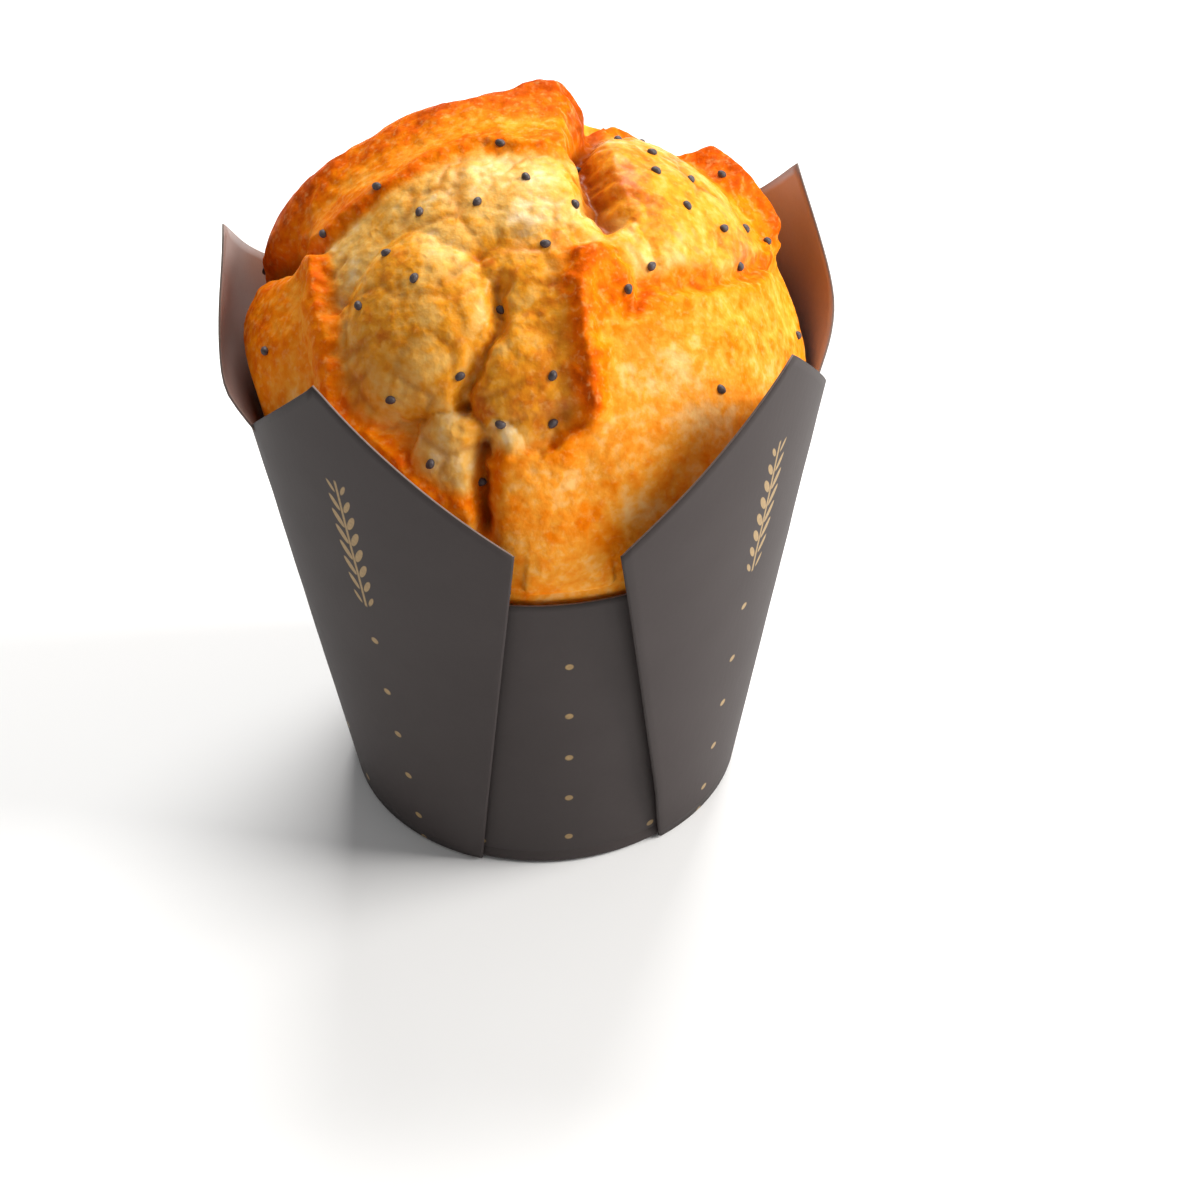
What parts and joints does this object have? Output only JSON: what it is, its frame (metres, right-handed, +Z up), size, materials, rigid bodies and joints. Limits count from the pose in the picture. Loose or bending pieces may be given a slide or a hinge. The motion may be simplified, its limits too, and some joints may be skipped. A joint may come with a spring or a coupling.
{
  "type": "muffin",
  "caption": "Poppy seed muffin with a cracked dome, baked in a folded tulip case of dark paper with four pointed petals.",
  "frame": {"origin": "centre of the paper case's flat underside", "axes": "+Z up through the muffin, -Y towards the open front pleat"},
  "size_m": [0.0734, 0.0697, 0.0913],
  "materials": {
    "paper": "matte dark grey baking paper, brown inside",
    "crumb": "baked crust and crumb, golden, slightly moist"
  },
  "bodies": {
    "root": {"paper_case": "paper", "muffin": "crumb"}
  },
  "joints": []
}
